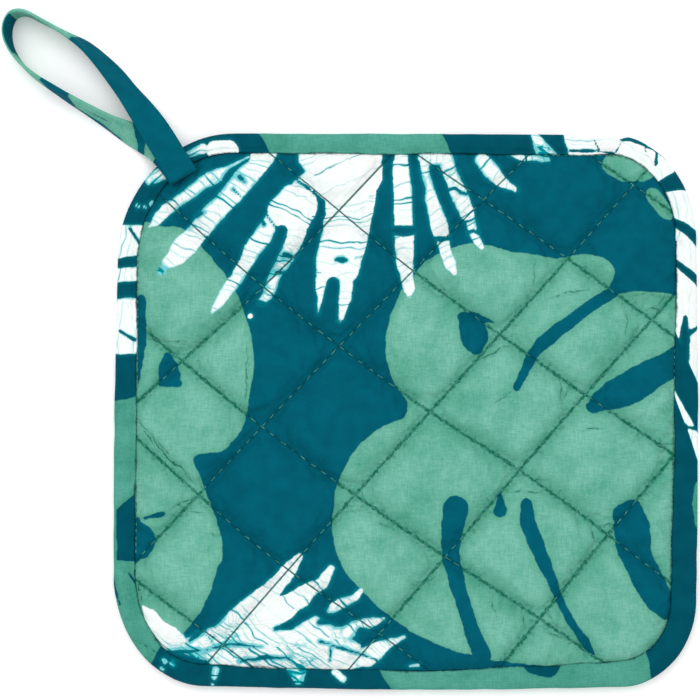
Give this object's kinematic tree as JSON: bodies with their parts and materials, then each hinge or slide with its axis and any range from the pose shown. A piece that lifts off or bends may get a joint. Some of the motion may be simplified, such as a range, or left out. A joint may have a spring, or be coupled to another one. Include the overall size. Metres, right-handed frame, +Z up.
{
  "type": "pot holder",
  "caption": "Square quilted cotton pot holder with rounded corners, a bound edge and a folded-strip hanging loop sewn to one corner, lying flat on its back.",
  "frame": {"origin": "on the surface the pad lies on, under the middle of the bound square", "axes": "+X to the right and +Y to the top of the pad as it is seen from above, +Z up out of its printed face; the hanging loop reaches out at the -X +Y corner"},
  "size_m": [0.2425, 0.2368, 0.0113],
  "materials": {
    "pad_cotton": "plain-woven cotton, wax-resist dyed in teal, sage green and white, matt",
    "binding_cotton": "strip of the same wax-resist dyed cotton, folded double over the edge, matt",
    "loop_cotton": "strip of the same wax-resist dyed cotton, folded and sewn flat, matt",
    "sewing_thread": "green sewing thread with a slight sheen"
  },
  "bodies": {
    "root": {"quilted_pad": "pad_cotton", "edge_binding": "binding_cotton", "hanging_loop": "loop_cotton"}
  },
  "joints": []
}
